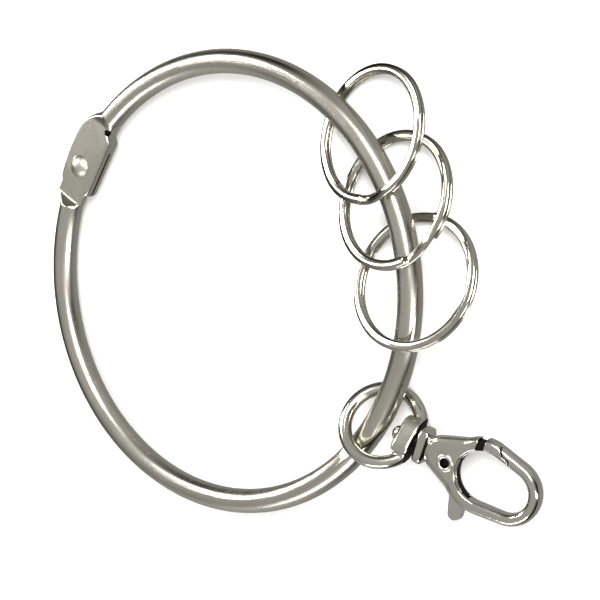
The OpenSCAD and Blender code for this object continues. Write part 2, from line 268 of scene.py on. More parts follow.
def newTree(name, sizes):
    # a Geometry Nodes tree whose inputs are its named sizes
    tree = bpy.data.node_groups.new(name, "GeometryNodeTree")
    tree.interface.new_socket("Geometry", in_out="INPUT", socket_type="NodeSocketGeometry")
    tree.interface.new_socket("Geometry", in_out="OUTPUT", socket_type="NodeSocketGeometry")
    for label, value in sizes.items():
        kind = "NodeSocketInt" if isinstance(value, int) else "NodeSocketFloat"
        if label == "Material":
            kind = "NodeSocketMaterial"
        socket = tree.interface.new_socket(label, in_out="INPUT", socket_type=kind)
        if value is not None:
            socket.default_value = value
    return tree, addNode(tree, "NodeGroupInput").outputs


def endTree(tree, geometry, given):
    real = addNode(tree, "GeometryNodeRealizeInstances", Geometry=geometry)
    coated = addNode(tree, "GeometryNodeSetMaterial", Geometry=real.outputs[0], Material=given["Material"])
    addNode(tree, "NodeGroupOutput", Geometry=coated.outputs[0])
    print("tree ready:", tree.name)
    return tree


def grow(name, tree, sizes, mesh=None):
    thing = makeObject(name, mesh or bpy.data.meshes.new(name))
    change = thing.modifiers.new("grow", "NODES")
    change.node_group = tree
    sockets = {s.name: s.identifier for s in tree.interface.items_tree if getattr(s, "in_out", "") == "INPUT"}
    for label, value in sizes.items():
        change[sockets[label]] = value
    return bakeModifiers(thing)


def rodTree():
    tree, given = newTree("swept_rod", {"Path Radius": 40.0, "Rod Radius": 2.0, "Start": 0.0, "Sweep": 3.0,
                                        "Steps": 200, "Around": 64, "Capped": 1, "Material": None})
    arc = addNode(tree, "GeometryNodeCurveArc", {"mode": "RADIUS"}, Resolution=given["Steps"],
                  Radius=given["Path Radius"], Start_Angle=given["Start"], Sweep_Angle=given["Sweep"])
    section = addNode(tree, "GeometryNodeCurvePrimitiveCircle", Resolution=given["Around"], Radius=given["Rod Radius"])
    level = addNode(tree, "GeometryNodeSetCurveNormal", {"mode": "Z_UP"}, Curve=arc.outputs[0])
    body = addNode(tree, "GeometryNodeCurveToMesh", Curve=level.outputs[0], Profile_Curve=section.outputs[0],
                   Fill_Caps=given["Capped"])
    return endTree(tree, body.outputs[0], given)


def coilTree():
    # a flattened wire wound nearly twice round, with the step where the second turn climbs over the first
    tree, given = newTree("split_ring_coil", {"Middle Radius": 11.6, "Wire Width": 1.8, "Wire Thickness": 0.78,
                                              "Turn Pitch": 0.83, "Step Angle": 32.0, "Squareness": 0.96,
                                              "Steps": 420, "Material": None})
    endGap = 0.6  # degrees by which each end falls short
    total = addNode(tree, "ShaderNodeMath", {"operation": "SUBTRACT"}, in0=720.0, in1=given["Step Angle"])
    stepStart = addNode(tree, "ShaderNodeMath", {"operation": "SUBTRACT"}, in0=360.0, in1=given["Step Angle"])
    lastAngle = addNode(tree, "ShaderNodeMath", {"operation": "SUBTRACT"}, in0=total.outputs[0], in1=endGap)
    along = addNode(tree, "GeometryNodeSplineParameter")
    angle = addNode(tree, "ShaderNodeMapRange", Value=along.outputs["Factor"], To_Min=endGap,
                    To_Max=lastAngle.outputs[0])
    climb = addNode(tree, "ShaderNodeMapRange", {"interpolation_type": "SMOOTHSTEP"}, Value=angle.outputs[0],
                    From_Min=stepStart.outputs[0], From_Max=360.0, To_Min=-0.5, To_Max=0.5)
    height = addNode(tree, "ShaderNodeMath", {"operation": "MULTIPLY"}, in0=climb.outputs[0], in1=given["Turn Pitch"])
    bend = addNode(tree, "ShaderNodeMath", {"operation": "RADIANS"}, in0=angle.outputs[0])
    unwound = addNode(tree, "ShaderNodeCombineXYZ", X=given["Middle Radius"], Z=height.outputs[0])
    spot = addNode(tree, "ShaderNodeVectorRotate", {"rotation_type": "Z_AXIS"}, Vector=unwound.outputs[0],
                   Angle=bend.outputs[0])
    line = addNode(tree, "GeometryNodeCurvePrimitiveLine")
    path = addNode(tree, "GeometryNodeResampleCurve", Curve=line.outputs[0], Count=given["Steps"])
    wound = addNode(tree, "GeometryNodeSetPosition", Geometry=path.outputs[0], Position=spot.outputs[0])
    level = addNode(tree, "GeometryNodeSetCurveNormal", {"mode": "Z_UP"}, Curve=wound.outputs[0])
    # the sheared ends are a little rounded over their last two degrees
    otherEnd = addNode(tree, "ShaderNodeMath", {"operation": "SUBTRACT"}, in0=total.outputs[0], in1=angle.outputs[0])
    nearEnd = addNode(tree, "ShaderNodeMath", {"operation": "MINIMUM"}, in0=angle.outputs[0], in1=otherEnd.outputs[0])
    blunt = addNode(tree, "ShaderNodeMapRange", {"interpolation_type": "SMOOTHSTEP"}, Value=nearEnd.outputs[0],
                    From_Min=0.5, From_Max=2.1, To_Min=0.86, To_Max=1.0)
    # the drawn wire is a flattened oval, and a squareness below 1 makes it boxier
    circle = addNode(tree, "GeometryNodeCurvePrimitiveCircle", Resolution=28, Radius=1.0)
    spots = addNode(tree, "ShaderNodeSeparateXYZ", Vector=addNode(tree, "GeometryNodeInputPosition").outputs[0])
    sides = []
    for axis, size in (("X", "Wire Width"), ("Y", "Wire Thickness")):
        way = addNode(tree, "ShaderNodeMath", {"operation": "SIGN"}, in0=spots.outputs[axis])
        far = addNode(tree, "ShaderNodeMath", {"operation": "ABSOLUTE"}, in0=spots.outputs[axis])
        boxy = addNode(tree, "ShaderNodeMath", {"operation": "POWER"}, in0=far.outputs[0], in1=given["Squareness"])
        half = addNode(tree, "ShaderNodeMath", {"operation": "MULTIPLY"}, in0=given[size], in1=0.5)
        side = addNode(tree, "ShaderNodeMath", {"operation": "MULTIPLY"}, in0=boxy.outputs[0], in1=half.outputs[0])
        sides.append(addNode(tree, "ShaderNodeMath", {"operation": "MULTIPLY"},
                             in0=side.outputs[0], in1=way.outputs[0]))
    pressed = addNode(tree, "ShaderNodeCombineXYZ", X=sides[0].outputs[0], Y=sides[1].outputs[0])
    oval = addNode(tree, "GeometryNodeSetPosition", Geometry=circle.outputs[0], Position=pressed.outputs[0])
    body = addNode(tree, "GeometryNodeCurveToMesh", Curve=level.outputs[0], Profile_Curve=oval.outputs[0],
                   Scale=blunt.outputs[0], Fill_Caps=True)
    return endTree(tree, body.outputs[0], given)


def wireTree():
    tree, given = newTree("wire_on_path", {"Wire Diameter": 0.24, "Around": 16, "Material": None})
    path = addNode(tree, "GeometryNodeMeshToCurve", Mesh=given["Geometry"])
    half = addNode(tree, "ShaderNodeMath", {"operation": "MULTIPLY"}, in0=given["Wire Diameter"], in1=0.5)
    section = addNode(tree, "GeometryNodeCurvePrimitiveCircle", Resolution=given["Around"], Radius=half.outputs[0])
    wire = addNode(tree, "GeometryNodeCurveToMesh", Curve=path.outputs[0], Profile_Curve=section.outputs[0],
                   Fill_Caps=True)
    return endTree(tree, wire.outputs[0], given)


sweptRod, splitRingCoil, wireOnPath = rodTree(), coilTree(), wireTree()

hoop = {"radius": 40.5, "rod": 4.5, "around": 72,
        "closing": -2, "plugRadius": 1.3, "plugLength": 5.8,  # the closing joint and the pin inside it
        "socketRoom": 0.2, "socketDepth": 3.2,  # what the socket is wider and deeper than the pin
        "cutSide": 0.953, "cutRise": 2.933, "cutMiddle": -1.35, "cutGap": 0.25}  # its slanted cut
perMm = 180 / (pi * hoop["radius"])  # degrees round the hoop for each millimetre of its rod
atHinge = move(-hoop["radius"], 0) @ turn(90, "Z")


def rodArc(name, start, end, radius, capped=True, steps=240, around=None, pathRadius=None):
    return grow(name, sweptRod, {"Path Radius": pathRadius or hoop["radius"], "Rod Radius": radius,
                                 "Start": radians(start), "Sweep": radians(end - start), "Steps": steps,
                                 "Around": around or hoop["around"], "Capped": int(capped)})


def lathed(name, outline, steps=64):
    points, faces = [], []
    for k in range(steps):
        a = 2 * pi * k / steps
        points += [(r * cos(a), r * sin(a), z) for r, z in outline]
    m = len(outline)
    for k in range(steps):
        n = (k + 1) % steps
        for j in range(m - 1):
            faces.append((k * m + j, n * m + j, n * m + j + 1, k * m + j + 1))
    return fromPoints(name, points, faces)


def ball(name, radius, steps=40):
    outline = [(radius * sin(pi * k / steps), -radius * cos(pi * k / steps)) for k in range(steps + 1)]
    outline[0], outline[-1] = (0, -radius), (0, radius)
    return lathed(name, outline, steps * 2)


def block(name, low, high, matrix=Matrix()):
    corners = [(x, y, z) for x in (low[0], high[0]) for y in (low[1], high[1]) for z in (low[2], high[2])]
    return fromPoints(name, [matrix @ Vector(corner) for corner in corners],
                      [(0, 1, 3, 2), (4, 6, 7, 5), (0, 4, 5, 1), (2, 3, 7, 6), (0, 2, 6, 4), (1, 5, 7, 3)])


def slab(name, outline, low, high):
    n = len(outline)
    points = [(x, y, low) for x, y in outline] + [(x, y, high) for x, y in outline]
    faces = [tuple(range(n - 1, -1, -1)), tuple(range(n, 2 * n))]
    faces += [(k, (k + 1) % n, n + (k + 1) % n, n + k) for k in range(n)]
    return fromPoints(name, points, faces)


def pin(name, radius, low, high, centre=(0, 0), steps=64, matrix=Matrix()):
    thing = slab(name, [(centre[0] + radius * cos(2 * pi * k / steps), centre[1] + radius * sin(2 * pi * k / steps))
                        for k in range(steps)], low, high)
    thing.data.transform(matrix)
    return thing


def dome(name, radius, height, base):
    # the cap of a sphere on a flat face
    sphere = (radius ** 2 + height ** 2) / (2 * height)
    top = asin(radius / sphere)
    outline = [(sphere * sin(top * k / 20), base + height - sphere + sphere * cos(top * k / 20)) for k in range(21)]
    outline[0] = (0, outline[0][1])
    return lathed(name, outline + [(radius - 0.03, base), (0, base)])


def squarish(a, halfWidth, halfThick, power):
    # a point on an oval whose sides get flatter as the power rises above 2
    c, s = cos(a), sin(a)
    return (halfWidth * (abs(c) ** (2 / power)) * (1 if c >= 0 else -1),
            halfThick * (abs(s) ** (2 / power)) * (1 if s >= 0 else -1))


def flattened(a, halfWidth, halfThick, power):
    y, z = squarish(a, halfWidth, halfThick * 1.08, power)
    return y, max(-halfThick, min(halfThick, z))


def smooth(t):
    t = max(0.0, min(1.0, t))
    return t * t * (3 - 2 * t)


def cutBlock(side):
    # takes away what lies beyond the closing joint's slanted cut, on one side of it
    tall = Vector((-hoop["cutSide"], 1, hoop["cutRise"]))
    tilt, way = degrees(acos(tall.z / tall.length)), degrees(atan2(tall.y, tall.x))
    matrix = (turn(hoop["closing"], "Z") @ move(hoop["radius"], hoop["cutMiddle"]) @ turn(way, "Z") @ turn(tilt, "Y")
              @ move(0, 0, side * (5 - hoop["cutGap"] / 2)))
    return block("cutBlock", (-15, -12, -5), (15, 12, 5), matrix)


def closeTip(half):
    # only the end at the closing joint, because the hinge's end is lofted on
    with edited(half) as shell:
        bmesh.ops.holes_fill(shell, edges=[e for e in shell.edges if e.is_boundary and e.verts[0].co.x > 0])


def loftOn(tube, centre, sections):
    # carries a swept tube on from its open end, each section being a function of the angle round it
    with edited(tube) as shell:
        bmesh.ops.remove_doubles(shell, verts=shell.verts, dist=1e-5)
        middle = Vector(centre)
        ring = [v for v in shell.verts if v.is_boundary and (v.co - middle).length < hoop["rod"] * 0.7]
        outward = Vector((middle.x, middle.y, 0)).normalized()
        angle = {v: atan2(v.co.z, (v.co - middle).dot(outward)) for v in ring}
        ring.sort(key=lambda v: angle[v])
        angles = [angle[v] for v in ring]
        last = ring
        for section in sections:
            fresh = [shell.verts.new(section(a)) for a in angles]
            for k in range(len(ring)):
                n = (k + 1) % len(ring)
                shell.faces.new((last[k], last[n], fresh[n], fresh[k]))
            last = fresh
        shell.faces.new(last)
        bmesh.ops.recalc_face_normals(shell, faces=shell.faces)


def rodPoint(x, a):
    # on the rod's skin, x millimetres from the rivet along the hinge's own level
    bend = x / hoop["radius"]
    out = hoop["radius"] + hoop["rod"] / 2 * cos(a)
    return Vector((out * sin(bend), out * cos(bend) - hoop["radius"], hoop["rod"] / 2 * sin(a)))


fork = {"width": 8, "thickness": 3, "tail": 4.9, "inner": -4.4, "corner": 1.5,  # the plate round the rivet
        "flatEnd": 7.4, "root": 12,  # the plate is flat up to the first, and the rod is round from the second
        "bulge": 0.35, "bulgeMiddle": 2.8, "bulgeReach": 5.2,  # the outer edge is forged slightly crowned
        "slot": 1.54, "slotEnd": 4.2, "slit": 0.4, "slitEnd": 5.4, "hole": 1.13, "edge": 0.14,
        "relief": (9.2, -2.5, 0.7), "reliefRadius": 0.6, "reliefTilt": 45}  # the hole where plate and rod meet


def forkSections():
    middle, half = fork["inner"] + fork["width"] / 2, fork["width"] / 2
    rows, steps, stride = [], 22, 0.6  # place from the rivet, how far the rod is forged flat, and share of the width
    for k in range(1, steps + 1):
        rows.append((fork["root"] + (fork["flatEnd"] - fork["root"]) * k / steps, k / steps, 1.0))
    x = fork["flatEnd"]
    while x > -fork["tail"] + fork["corner"] + stride:
        x -= stride
        rows.append((x, 1.0, 1.0))
    for k in range(0, 11):
        a = pi / 2 * k / 10
        x = -fork["tail"] + fork["corner"] * (1 - sin(a))
        rows.append((x, 1.0, (half - fork["corner"] * (1 - cos(a))) / half))

    def section(x, t, share):
        # the outer edge swells early, the inner edge steps out late, and the faces flatten in between
        swell, step, flat = sin(pi / 2 * max(0.0, t - 0.1) / 0.9), smooth((t - 0.62) / 0.38), smooth(t * 2)
        bulge = fork["bulge"] * (((x - fork["bulgeMiddle"]) / fork["bulgeReach"]) ** 2 - 1)

        def point(a):
            y, z = flattened(a, half * share, fork["thickness"] / 2, 6)
            skin, side = rodPoint(x, a), smooth((y / half + 0.5))
            out = middle + y - bulge * side * swell
            across = step + (swell - step) * side
            return atHinge @ Vector((x + (skin.x - x) * (1 - flat), skin.y + (out - skin.y) * across,
                                     skin.z + (z - skin.z) * flat))
        return point
    return [section(*row) for row in rows]


def makeUpperHalf():
    tip = hoop["closing"] - (hoop["plugLength"] + 1) * perMm
    root = 180 - fork["root"] * perMm
    half = rodArc("upperHoop", tip, root, hoop["rod"] / 2, capped=False)
    closeTip(half)
    loftOn(half, polar(hoop["radius"], root) + (0,), forkSections())
    combine(half, cutBlock(-1), "DIFFERENCE")
    # the slot for the tongue is open at the outside, and only a slit goes on through the inner edge
    behind, slot, slit = -fork["tail"] - 1, fork["slot"] / 2, fork["slit"] / 2
    wide = block("slot", (behind, -tongue["width"] / 2 - 0.15, -slot),
                 (fork["slotEnd"], fork["inner"] + fork["width"] + 1, slot), atHinge)
    combine(half, wide, "DIFFERENCE")
    thin = block("slit", (behind, fork["inner"] - 1, -slit), (fork["slitEnd"], -3, slit), atHinge)
    combine(half, thin, "DIFFERENCE")
    combine(half, pin("hole", fork["hole"], -4, 4, matrix=atHinge), "DIFFERENCE")
    drilled = atHinge @ move(*fork["relief"]) @ turn(fork["reliefTilt"], "X")
    combine(half, pin("relief", fork["reliefRadius"], 0, 4, matrix=drilled), "DIFFERENCE")
    edged(half, fork["edge"])
    plugEnd = hoop["closing"] - (hoop["plugLength"] - hoop["plugRadius"]) * perMm
    plug = rodArc("plug", plugEnd, hoop["closing"] + 8 * perMm, hoop["plugRadius"], steps=60, around=48)
    tipBall = ball("plugTip", hoop["plugRadius"] - 0.005)  # a hair smaller, so that it stays inside the pin
    tipBall.data.transform(turn(plugEnd, "Z") @ move(hoop["radius"], 0))
    half = joined("upperHalf", [half, plug, tipBall])
    shadeByAngle(half)
    inSlot, inHole = atHinge.inverted(), drilled.inverted()
    # painted shade: the tongue slot's walls and the relief hole's walls get the dark steel, standing in for the shade
    # inside them
    unplated = []
    for face in half.data.polygons:
        spot, bored = inSlot @ face.center, inHole @ face.center
        slotWall = -5 < spot.x < 5.5 and abs(spot.z) < slot + 0.01 and abs(face.normal.z) > 0.7
        holeWall = hypot(bored.x, bored.y) < fork["reliefRadius"] + 0.02 and bored.z < 1.6
        unplated.append(slotWall or holeWall)
    put(half)
    finishPiece(half, satinNickel, "upper_half", "upper_half", unplated)


tongue = {"width": 6.4, "thickness": 1.3, "hole": 1.22, "edge": 0.1,
          "shoulder": 6.9, "root": 8.6}  # flat up to the first, and the rod is round from the second


def tongueSections():
    half, thick = tongue["width"] / 2, tongue["thickness"] / 2
    rows = []  # place from the rivet, how far the rod is forged flat, and share of the width
    for k in range(1, 9):
        t = k / 8
        rows.append((-tongue["root"] + (tongue["root"] - tongue["shoulder"]) * t, smooth(t), 1.0))
    for k in range(1, 8):
        rows.append((-tongue["shoulder"] * (1 - k / 7), 1.0, 1.0))
    for k in range(1, 17):
        a = pi / 2 * k / 16 * 0.985
        rows.append((half * sin(a), 1.0, cos(a)))

    def section(x, flat, share):
        def point(a):
            y, z = flattened(a, half * share, thick, 7)
            return atHinge @ (rodPoint(x, a).lerp(Vector((x, y, z)), flat))
        return point
    return [section(*row) for row in rows]


def makeLowerHalf():
    tall = hypot(hoop["cutSide"], hoop["cutRise"])
    cutEnd = hoop["cutMiddle"] + hoop["rod"] / 2 * tall + 0.3
    root = 180 + tongue["root"] * perMm
    half = rodArc("lowerHoop", root, 360 + hoop["closing"] + cutEnd * perMm, hoop["rod"] / 2, capped=False)
    closeTip(half)
    loftOn(half, polar(hoop["radius"], root) + (0,), tongueSections())
    combine(half, cutBlock(1), "DIFFERENCE")
    depth = hoop["plugLength"] + hoop["socketDepth"]
    socket = rodArc("socket", hoop["closing"] - depth * perMm, hoop["closing"] + (cutEnd + 1) * perMm,
                    hoop["plugRadius"] + hoop["socketRoom"], steps=60, around=48)
    combine(half, socket, "DIFFERENCE")
    combine(half, pin("hole", tongue["hole"], -4, 4, matrix=atHinge), "DIFFERENCE")
    edged(half, tongue["edge"])
    half.name = "lowerHalf"
    shadeByAngle(half)
    put(half)
    finishPiece(half, satinNickel, "lower_half", "lower_half")


hingeRivet = {"radius": 1.1, "head": 2.15, "height": 1.1}  # its shank, and its two domed heads


def makeHingeRivet():
    half = fork["thickness"] / 2
    heads = [dome("head", hingeRivet["head"], hingeRivet["height"], half) for _ in range(2)]
    heads[1].data.transform(turn(180, "X"))
    faceOutwards(heads[1])
    rivet = joined("hingeRivet", heads + [pin("shank", hingeRivet["radius"], -half - 0.05, half + 0.05)])
    shadeByAngle(rivet, 40)
    put(rivet, atHinge)
    finishPiece(rivet, tumbledNickel, "upper_half", "hinge_rivet")


# For each ring: where it is round the hoop, how far its middle is outside the rod's, and where its wire ends.
splitRing = {"diameter": 25, "width": 1.8, "thickness": 0.78, "turnGap": 0.05, "step": 32, "squareness": 0.96,
             "angles": (34, 54.4, 71.1), "reach": (0.8, 0.1, 2.2), "ends": (113, -56, -96),
             "clearance": 0.1, "steps": 420}


def tableDepth(x, y):
    return table["height"] + table["slopeX"] * x + table["slopeY"] * y


def makeSplitRings():
    # each ring passes under the rod, stands on the table there, and leans over the rod at its other side
    outer = splitRing["diameter"] / 2
    pitch = splitRing["thickness"] + splitRing["turnGap"]
    thickness = splitRing["thickness"] + pitch
    for k, (angle, reach, end) in enumerate(zip(splitRing["angles"], splitRing["reach"], splitRing["ends"])):
        away = hoop["radius"] + reach
        low = Vector(polar(away, angle)) + Vector(polar(outer, angle + 90))
        depth = tableDepth(*low)
        crossing = sqrt((outer - splitRing["width"]) ** 2 - (reach + 1.5) ** 2) - 0.15  # where it meets the rod's top
        rise = hoop["rod"] / 2 + splitRing["clearance"] + depth
        lean = degrees(asin(rise / (outer + crossing)))
        height = outer * sin(radians(lean)) + thickness / 2 * cos(radians(lean)) - depth
        coil = grow(f"splitRing{k + 1}", splitRingCoil, {
            "Middle Radius": outer - splitRing["width"] / 2, "Wire Width": splitRing["width"],
            "Wire Thickness": splitRing["thickness"], "Turn Pitch": pitch, "Step Angle": float(splitRing["step"]),
            "Squareness": splitRing["squareness"], "Steps": splitRing["steps"]})
        faceOutwards(coil)
        shadeByAngle(coil, 40)
        put(coil, turn(angle, "Z") @ move(away, 0, height) @ turn(-lean, "X") @ turn(end, "Z"))
        finishPiece(coil, polishedNickel, f"split_ring_{k + 1}", f"split_ring_{k + 1}")


# Places along the eye and the hook are measured from the eye's centre, which is "reach" outside the rod's middle.
eye = {"radius": 6.85, "wire": 2.4, "angle": -3.2, "reach": 1.2, "roll": -33,
       "heading": 9.7, "droop": 8.8,  # where the hook points, seen from above and from the side
       "bossThickness": 4, "bossWidth": 7.4, "bossStart": 3.45, "bossEnd": 6.8, "bore": 1.27}
eyeCentre = polar(hoop["radius"] + eye["reach"], eye["angle"])
atHook = move(*eyeCentre) @ turn(eye["heading"], "Z") @ turn(eye["droop"], "Y")
atEye = atHook @ turn(eye["roll"], "X")


def stack(name, rows, power, steps=64):
    # soft-cornered sections strung along X, each row being its place, width and thickness
    points, faces = [], []
    for place, width, thickness in rows:
        points += [(place, *squarish(2 * pi * k / steps, width / 2, thickness / 2, power)) for k in range(steps)]
    for row in range(len(rows) - 1):
        a, b = row * steps, (row + 1) * steps
        faces += [(a + k, a + (k + 1) % steps, b + (k + 1) % steps, b + k) for k in range(steps)]
    faces += [tuple(range(steps)), tuple(range(len(points) - steps, len(points)))]
    return fromPoints(name, points, faces)


def makeEye():
    ring = rodArc("eyeRing", 0, 359.999, eye["wire"] / 2, steps=260, around=48, pathRadius=eye["radius"], capped=False)
    faceOutwards(ring)
    wide, thick = eye["bossWidth"], eye["bossThickness"]
    start, end = eye["bossStart"], eye["bossEnd"]
    boss = stack("boss", ((start, wide * 0.82, thick * 0.8), (start + 0.5, wide, thick),
                          (end - 0.3, wide * 1.04, thick), (end, wide, thick * 0.9)), 4)
    whole = fused(joined("swivelEye", [ring, boss]), voxel=0.1, passes=3)
    combine(whole, block("beyond", (end, -10, -10), (end + 5, 10, 10)), "DIFFERENCE")
    combine(whole, pin("bore", eye["bore"], 0, end + 2, matrix=turn(90, "Y")), "DIFFERENCE")
    fused(whole, voxel=0.09, passes=4)
    # painted shade: the boss's end face gets the dark steel, standing in for the shade in the gap before the hook's
    # collar
    paintedShadeFaces = [f.center.x > end - 0.12 and abs(f.normal.x) > 0.6 for f in whole.data.polygons]
    put(whole, atEye)
    finishPiece(whole, castNickel, "swivel_eye", "swivel_eye", paintedShadeFaces)


hook = {"thickness": 3.2, "neck": 3.2, "neckPlace": 12, "cheek": 6.6, "crown": 0.003,
        "length": 31.8, "loop": 14, "loopPlace": (20.4, -0.4), "tip": 6.1, "tipDrop": -0.8, "bar": 2.3,
        "collar": 6.6, "collarThickness": 4.2, "collarStart": 7.45, "collarEnd": 9.4,
        "post": 1.15, "postHead": 1.5, "postHeadHeight": 1.25, "postHeadPlace": 3.39,  # the swivel inside the eye
        "slot": 1.7, "slotRoom": 0.25}  # the slot that the trigger moves in, and its room round the trigger
loopNear, loopFar = hook["loopPlace"], (hook["length"] - hook["tip"], hook["tipDrop"])

# The gate's end is stepped: its outer half ends at "step" from the pivot, and its inner half at "nose".
trigger = {"thickness": 1.5, "pivot": (13.6, -0.7), "hole": 1.32, "travel": 24, "step": 11, "nose": 11.9,
           "gate": 17.9, "gap": 0.25, "tab": 3.6, "tabWidth": 3,
           # the middles and radii of the discs that its two arms are drawn between
           "boss": 2.6, "gateArm": ((18.6, 4.4), 1.3), "gateRoot": ((21, 4.9), 1.0), "tabArm": ((17.4, -5), 1.7)}


def chamferedDisc(name, radius, height, centre, steps=128):
    edge = [(1.25, 0), (0.75, 0.17), (0.2, 0.5), (0, 0.8)]  # how far each point is back from the side, and down
    outline = [(0, height / 2)] + [(radius - back, height / 2 - down) for back, down in edge]
    disc = lathed(name, outline + [(r, -z) for r, z in reversed(outline)], steps)
    disc.data.transform(move(*centre))
    return disc


def hullOf(name, things):
    shell = bmesh.new()
    for thing in things:
        for vertex in thing.data.vertices:
            shell.verts.new(vertex.co)
        bpy.data.objects.remove(thing)
    bmesh.ops.remove_doubles(shell, verts=shell.verts, dist=1e-5)
    bmesh.ops.convex_hull(shell, input=shell.verts)
    bmesh.ops.delete(shell, geom=[v for v in shell.verts if not v.link_faces], context="VERTS")
    bmesh.ops.delete(shell, geom=[e for e in shell.edges if not e.link_faces], context="EDGES")
    mesh = bpy.data.meshes.new(name)
    shell.to_mesh(mesh)
    shell.free()
    thing = makeObject(name, mesh)
    faceOutwards(thing)
    return thing


def arcPoints(centre, radius, start, sweep, steps):
    spots = [polar(radius, start + sweep * k / steps) for k in range(steps + 1)]
    return [(centre[0] + x, centre[1] + y) for x, y in spots]


def linkOutline(a, ra, b, rb, steps=72):
    # outline of two circles joined by their outer tangents
    way = degrees(atan2(b[1] - a[1], b[0] - a[0]))
    spread = degrees(acos((ra - rb) / hypot(b[0] - a[0], b[1] - a[1])))
    return arcPoints(b, rb, way - spread, 2 * spread, steps) + arcPoints(a, ra, way + spread, 360 - 2 * spread, steps)


def loopOutline(inset):
    return linkOutline(loopNear, hook["loop"] / 2 - inset, loopFar, hook["tip"] - inset)


def loopBar(name, thickness):
    # a bar of rounded section carried round the loop
    around, inner, outer = 32, loopOutline(hook["bar"]), loopOutline(0)
    points, faces, m = [], [], len(outer)
    for p, q in zip(inner, outer):
        crisp = 6 - 3.5 * smooth((q[0] - 19) / 5)  # crisp inner edge beside the body, rounder towards the tip
        for k in range(around):
            a = 2 * pi * k / around
            u, z = squarish(a, 0.5, thickness / 2, 2.3 if cos(a) > 0 else crisp)
            points.append((p[0] + (q[0] - p[0]) * (u + 0.5), p[1] + (q[1] - p[1]) * (u + 0.5), z))
    for k in range(m):
        near, far = k * around, (k + 1) % m * around
        faces += [(near + j, far + j, far + (j + 1) % around, near + (j + 1) % around) for j in range(around)]
    return fromPoints(name, points, faces)


def gateCutter(inset):
    # the space that the gate fills, or the gate itself once an inset leaves it room
    pivot = trigger["pivot"]
    disc = pin("gateDisc", trigger["step"] - inset, -5, 5, pivot, 160)
    nose = pin("gateNose", trigger["nose"] - inset, -4.9, 4.9, pivot, 160)
    combine(nose, slab("gateInside", loopOutline(hook["bar"] / 2 + inset), -4.8, 4.8), "INTERSECT")
    combine(disc, nose, "UNION")
    start = trigger["gate"] + inset
    return combine(disc, block("gateReach", (start, 1.8, -5.5), (start + 12, 14, 5.5)), "INTERSECT")


def triggerShape(name, swell, low, high):
    # two tapered arms from the pivot, one to the gate and one to the thumb tab
    boss = (trigger["pivot"], trigger["boss"])
    tabEnd = (17.9, -hook["loop"] / 2 - trigger["tab"] + trigger["tabWidth"] / 2 + 0.3)
    tab = (tabEnd, trigger["tabWidth"] / 2 - 0.2)
    links = ((boss, trigger["gateArm"]), (trigger["gateArm"], trigger["gateRoot"]),
             (boss, trigger["tabArm"]), (trigger["tabArm"], tab))
    whole = None
    for k, ((a, ra), (b, rb)) in enumerate(links):
        part = slab(name + str(k), linkOutline(a, ra + swell, b, rb + swell, 32), low, high)
        whole = part if whole is None else combine(whole, part, "UNION")
    whole.name = name
    return whole


def makeHook():
    body = hullOf("hookBody", [chamferedDisc("neck", hook["neck"], hook["thickness"], (hook["neckPlace"], 0)),
                               chamferedDisc("cheek", hook["cheek"], hook["thickness"], loopNear)])
    combine(body, slab("opening", loopOutline(hook["bar"] / 2), -5, 5), "DIFFERENCE")
    wide, thick, start, end = hook["collar"], hook["collarThickness"], hook["collarStart"], hook["collarEnd"]
    collar = stack("collar", ((start, wide * 0.9, thick * 0.84), (start + 0.35, wide, thick), (end - 0.35, wide, thick),
                              (end + 0.15, wide * 0.8, thick * 0.74)), 4.5)
    bar = loopBar("loopBar", hook["thickness"])
    whole = fused(joined("hookBody", [body, collar, bar]), voxel=0.1, passes=3)
    # the slot is what the trigger sweeps while it opens
    pivot, slot, swept = trigger["pivot"], hook["slot"] / 2, None
    for k in range(10):
        swing = triggerShape("swing", hook["slotRoom"], -slot, slot)
        opened = turn(-(trigger["travel"] + 2) * k / 9, "Z")
        swing.data.transform(move(*pivot) @ opened @ move(-pivot[0], -pivot[1]))
        swept = swing if swept is None else combine(swept, swing, "UNION")
    combine(whole, swept, "DIFFERENCE")
    combine(whole, gateCutter(0), "DIFFERENCE")
    combine(whole, pin("pivotHole", hollowRivet["radius"] + 0.03, -5, 5, pivot), "DIFFERENCE")
    fused(whole, voxel=0.09, passes=4)
    post = pin("post", hook["post"], hook["postHeadPlace"] - 0.45, hook["collarEnd"] + 1, matrix=turn(90, "Y"))
    head = dome("postHead", hook["postHead"], hook["postHeadHeight"], 0)
    head.data.transform(move(hook["postHeadPlace"], 0) @ turn(-90, "Y"))
    whole = joined("hookBody", [whole, post, head])
    shadeByAngle(whole, 50)
    for vertex in whole.data.vertices:  # the cheeks are very slightly crowned
        if vertex.co.x > hook["collarEnd"]:
            vertex.co.z *= 1 - hook["crown"] * vertex.co.y ** 2
    # painted shade: the post inside the eye's bore gets the dark steel, standing in for the shade there
    paintedShadeFaces = [hypot(f.center.y, f.center.z) < hook["post"] + 0.1 and 4 < f.center.x < 8 for f in whole.data.polygons]
    put(whole, atHook)
    finishPiece(whole, castNickel, "hook", "hook_body", paintedShadeFaces)


spring = {"wire": 0.24, "radius": 1.62, "pitch": 0.27, "turns": 2, "legs": (2.6, 3.2),
          "room": 0.1}  # what its seat in the trigger leaves round the wire


def legSweep(side):
    # the room that a leg of the spring needs while the trigger turns
    way, gap = 1 - 2 * side, spring["wire"] / 2 + spring["room"]
    low, high, reach = spring["radius"] - gap, spring["radius"] + gap, way * (spring["legs"][side] + spring["room"])
    far = trigger["travel"] + 3

    def corner(x, y, a):
        spot = turn(a, "Z") @ Vector((x, y, 0))
        return trigger["pivot"][0] + spot.x, trigger["pivot"][1] + spot.y
    if side == 0:
        return [corner(0, low, 0), corner(reach, low, 0), corner(reach, high, 0),
                corner(reach, high, far), corner(0, high, far), corner(0, low, far)]
    return [corner(0, high, 0), corner(reach, high, 0), corner(reach, high, far),
            corner(reach, low, far), corner(0, low, far), corner(0, low, 0)]


